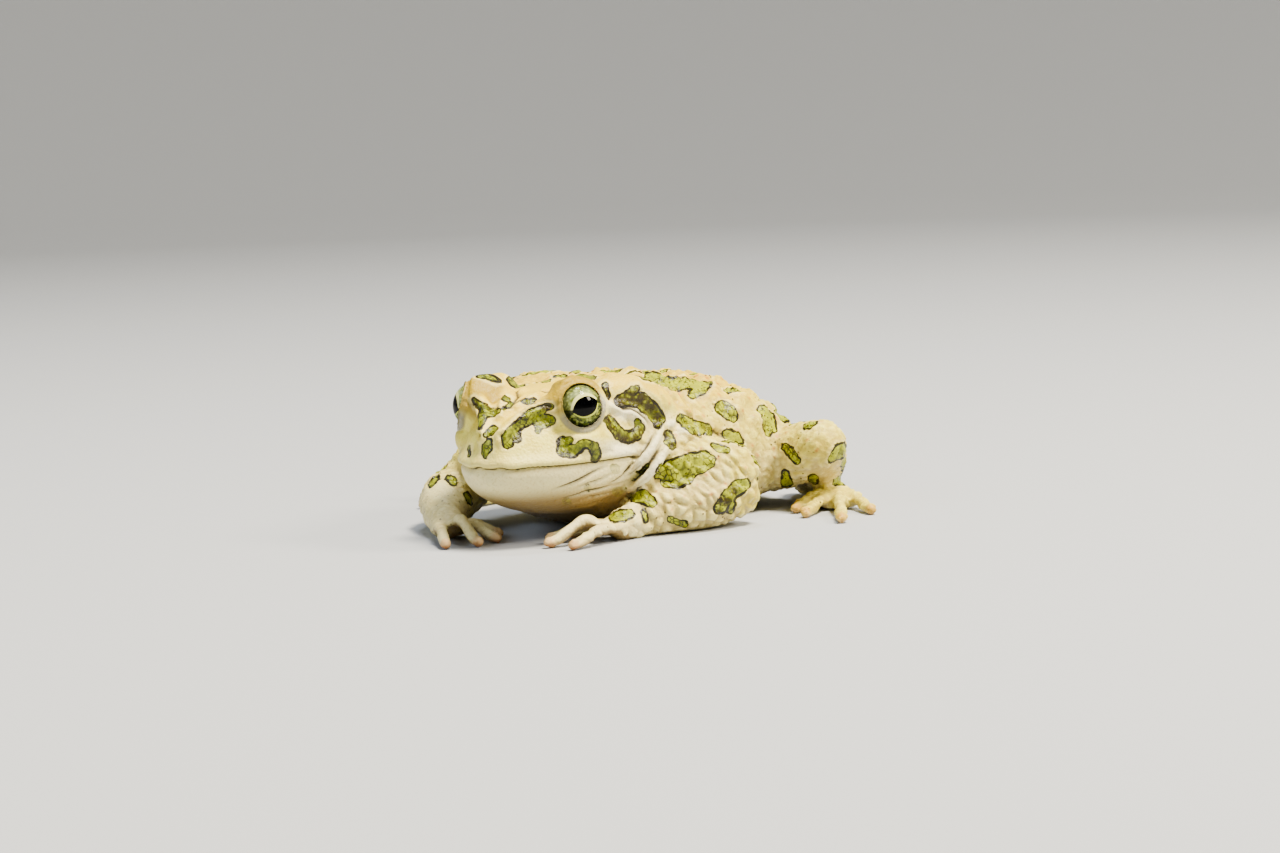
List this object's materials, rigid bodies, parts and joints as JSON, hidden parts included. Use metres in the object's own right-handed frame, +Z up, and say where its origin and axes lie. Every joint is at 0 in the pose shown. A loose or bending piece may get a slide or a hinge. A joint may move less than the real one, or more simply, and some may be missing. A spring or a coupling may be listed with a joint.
{
  "type": "green toad",
  "caption": "Life-size still figure of a warty European green toad sitting low with folded limbs, for display.",
  "frame": {"origin": "centre of the bounding box's base, on the surface the toad sits on", "axes": "+X to the toad's left, the snout points to -Y, +Z up"},
  "size_m": [0.0972, 0.0928, 0.0311],
  "materials": {
    "skin": "moist, pebbled and warty, cream and sand with olive-green blotches",
    "throat": "smooth, moist, ivory",
    "iris": "wet, glossy, green-gold iris with a black pupil"
  },
  "bodies": {
    "root": {"torso": "skin", "head": "skin", "lower_jaw": "throat", "eye_left": "iris", "eye_right": "iris", "upper_arm_left": "skin", "forearm_left": "skin", "hand_left": "skin", "thigh_left": "skin", "shank_left": "skin", "foot_left": "skin", "upper_arm_right": "skin", "forearm_right": "skin", "hand_right": "skin", "thigh_right": "skin", "shank_right": "skin", "foot_right": "skin"}
  },
  "joints": []
}
